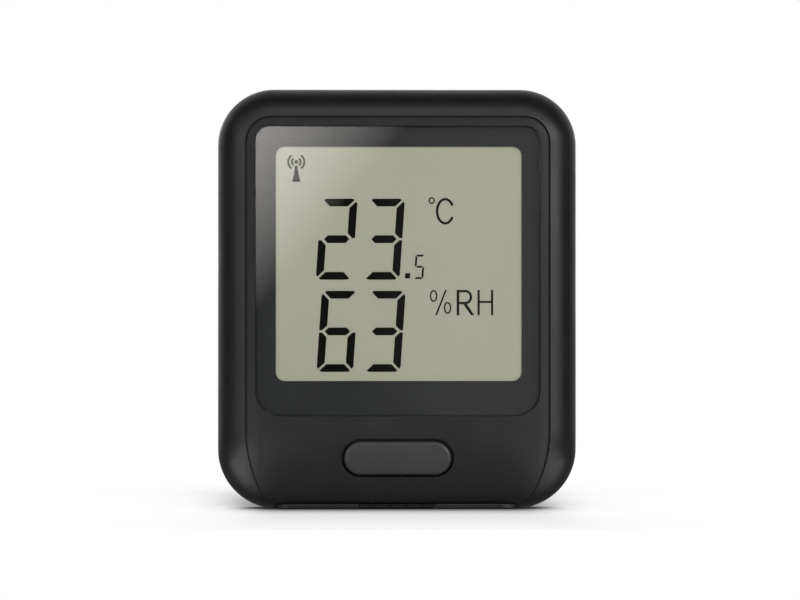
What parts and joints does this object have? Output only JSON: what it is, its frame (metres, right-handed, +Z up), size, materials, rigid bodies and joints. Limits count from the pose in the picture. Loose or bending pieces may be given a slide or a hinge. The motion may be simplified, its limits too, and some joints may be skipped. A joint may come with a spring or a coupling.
{
  "type": "data logger",
  "caption": "Free-standing or wall-hung display data logger: rounded frame, flush window over a segment display, chin with a stadium push button, covered charging socket in the base.",
  "frame": {"origin": "middle of the base, on the surface it stands on", "axes": "+X to the right as the display is read, +Y out of the back, +Z up"},
  "size_m": [0.07, 0.023, 0.082],
  "materials": {
    "case_black": "fine satin moulding",
    "panel_black": "smooth satin moulding",
    "button_black": "satin",
    "rubber_black": "soft black rubber",
    "window_clear": "polished clear acrylic",
    "mask_black": "printed black film",
    "display_cell": "grey-green liquid crystal cell",
    "display_film": "pale reflector film",
    "white_plastic": "white moulding",
    "foam_black": "closed-cell foam",
    "contact_rubber": "striped conductive rubber",
    "board_green": "solder mask",
    "chip_black": "chip moulding",
    "bright_metal": "tinned sheet",
    "screw_metal": "black zinc",
    "battery_foil": "laminated pouch foil",
    "lead_plastic": "insulated wire",
    "ceramic": "ceramic",
    "membrane_white": "microporous film"
  },
  "bodies": {
    "housing": {"frame_ring": "case_black", "rear_cover": "case_black", "front_cover": "panel_black", "front_gasket": "rubber_black", "rear_gasket": "rubber_black", "display_window": "window_clear", "window_mask": "mask_black", "display_gasket": "foam_black", "lcd_glass": "display_cell", "lcd_reflector": "display_film", "lcd_frame": "white_plastic", "contact_strip": "contact_rubber", "main_board": "board_green", "switch_body": "chip_black", "usb_socket": "bright_metal", "vent_membrane": "membrane_white", "sensor_board": "board_green", "humidity_sensor": "chip_black", "sensor_header": "white_plastic", "battery_cell": "battery_foil", "battery_tape": "foam_black", "battery_tab": "board_green", "battery_leads": "lead_plastic", "battery_plug": "white_plastic", "radio_module": "board_green", "shield_can": "bright_metal", "radio_antenna": "ceramic", "processor_chip": "chip_black", "memory_chip": "chip_black", "clock_crystal": "bright_metal", "case_screws": "screw_metal", "board_screws": "screw_metal"},
    "button": {"button_cap": "button_black", "switch_plunger": "white_plastic"},
    "usb_cover": {"usb_bung": "rubber_black"}
  },
  "joints": [
    {"name": "button_press", "type": "slide", "parent": "housing", "child": "button", "axis": [0, 1, 0], "range_m": [0, 0.0003], "stiffness_N_per_m": 1500, "springref_m": -0.0002},
    {"name": "bung_pull", "type": "slide", "parent": "housing", "child": "usb_cover", "axis": [0, 0, -1], "range_m": [0, 0.01]}
  ]
}
